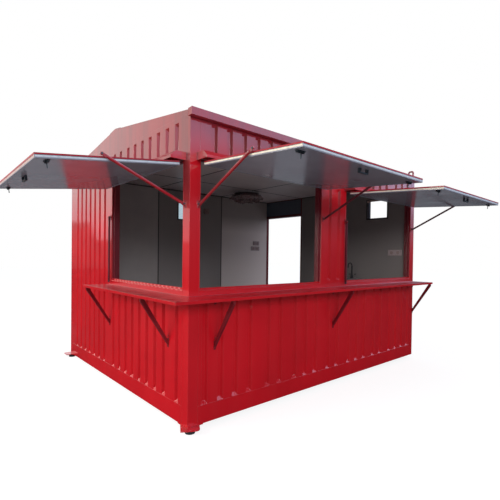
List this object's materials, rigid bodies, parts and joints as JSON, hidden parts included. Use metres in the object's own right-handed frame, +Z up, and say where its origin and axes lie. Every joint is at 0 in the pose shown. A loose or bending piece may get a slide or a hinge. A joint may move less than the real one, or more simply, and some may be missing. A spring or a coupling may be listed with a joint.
{
  "type": "coffee shop cabin",
  "caption": "Red steel cabin for serving coffee: ribbed walls, low pitched roof, serving openings with raised top-hung hatches on struts, outside counter shelf, dark lined room and a doorway.",
  "frame": {"origin": "on the ground, in the middle of the whole part's outline seen from above", "axes": "+X along the long counter front towards the doorway end, +Y from the counter front to the back wall, +Z up"},
  "size_m": [5.2428, 4.4862, 2.976],
  "materials": {
    "red_steel": "glossy red paint",
    "red_fold": "glossy red paint on folded sheet",
    "red_strut": "red paint, worn",
    "pad_rubber": "matt black",
    "floor_board": "coated board, dull grey-brown",
    "lining_board": "laminated board, dark grey, satin",
    "hatch_board": "slate grey laminate, satin",
    "dark_latch": "blue-black, satin",
    "lamp_shade": "opal, under a clear film",
    "sink_steel": "brushed",
    "tap_metal": "dark satin",
    "socket_plastic": "grey plates",
    "transom_blue": "blue-grey, satin"
  },
  "bodies": {
    "cabin": {"base_frame": "red_steel", "foot_pads": "pad_rubber", "floor_deck": "floor_board", "corner_posts": "red_steel", "front_lower_wall": "red_steel", "front_upper_wall": "red_steel", "front_pillar": "red_steel", "left_lower_wall": "red_steel", "left_upper_wall": "red_steel", "left_rear_wall": "red_steel", "right_front_wall": "red_steel", "right_head_rail": "red_steel", "back_wall": "red_steel", "gable_plates": "red_steel", "roof_sheets": "red_steel", "ridge_cap": "red_steel", "gutters": "red_fold", "ceiling_panel": "lining_board", "front_lining": "lining_board", "left_lining": "lining_board", "right_lining": "lining_board", "back_lining": "lining_board", "opening_frames": "red_fold", "small_window_frames": "red_fold", "drip_hoods": "red_fold", "front_shelf": "red_steel", "left_shelf": "red_steel", "shelf_brackets": "red_strut", "hatch_brackets": "red_strut", "ceiling_lamp": "lamp_shade", "sink_unit": "sink_steel", "faucet": "tap_metal", "wall_sockets": "socket_plastic", "door_frame": "red_fold", "door_transom": "transom_blue", "door_leaf": "red_steel"},
    "left_hatch": {"left_hatch_skin": "red_steel", "left_hatch_panel": "hatch_board", "left_hatch_latches": "dark_latch"},
    "front_hatch": {"front_hatch_skin": "red_steel", "front_hatch_panel": "hatch_board", "front_hatch_latches": "dark_latch"},
    "side_hatch": {"side_hatch_skin": "red_steel", "side_hatch_panel": "hatch_board", "side_hatch_latches": "dark_latch"},
    "left_near_prop": {"left_strut_near": "red_strut"},
    "left_far_prop": {"left_strut_far": "red_strut"},
    "front_left_prop": {"front_strut_left": "red_strut"},
    "front_right_prop": {"front_strut_right": "red_strut"},
    "side_left_prop": {"side_strut_left": "red_strut"},
    "side_right_prop": {"side_strut_right": "red_strut"}
  },
  "joints": [
    {"name": "left_hatch_hinge", "type": "hinge", "parent": "cabin", "child": "left_hatch", "pos_m": [-1.50863, -0.19588, 2.312], "axis": [0, -1, 0], "range_deg": [0, 83]},
    {"name": "front_hatch_hinge", "type": "hinge", "parent": "cabin", "child": "front_hatch", "pos_m": [-0.53563, -1.12488, 2.312], "axis": [1, 0, 0], "range_deg": [0, 86.3]},
    {"name": "side_hatch_hinge", "type": "hinge", "parent": "cabin", "child": "side_hatch", "pos_m": [1.59437, -1.12488, 2.312], "axis": [1, 0, 0], "range_deg": [0, 86.3]},
    {"name": "left_near_prop_pivot", "type": "hinge", "parent": "cabin", "child": "left_near_prop", "pos_m": [-1.49463, -1.02488, 1.957], "axis": [0, -1, 0], "range_deg": [0, 113.36]},
    {"name": "left_far_prop_pivot", "type": "hinge", "parent": "cabin", "child": "left_far_prop", "pos_m": [-1.49463, 0.63312, 1.957], "axis": [0, -1, 0], "range_deg": [-113.36, 0]},
    {"name": "front_left_prop_pivot", "type": "hinge", "parent": "cabin", "child": "front_left_prop", "pos_m": [-1.38263, -1.11088, 1.957], "axis": [1, 0, 0], "range_deg": [0, 116.76]},
    {"name": "front_right_prop_pivot", "type": "hinge", "parent": "cabin", "child": "front_right_prop", "pos_m": [0.31137, -1.11088, 1.957], "axis": [1, 0, 0], "range_deg": [0, 116.76]},
    {"name": "side_left_prop_pivot", "type": "hinge", "parent": "cabin", "child": "side_left_prop", "pos_m": [0.74737, -1.11088, 1.957], "axis": [1, 0, 0], "range_deg": [-116.76, 0]},
    {"name": "side_right_prop_pivot", "type": "hinge", "parent": "cabin", "child": "side_right_prop", "pos_m": [2.44137, -1.11088, 1.957], "axis": [1, 0, 0], "range_deg": [0, 116.76]}
  ]
}
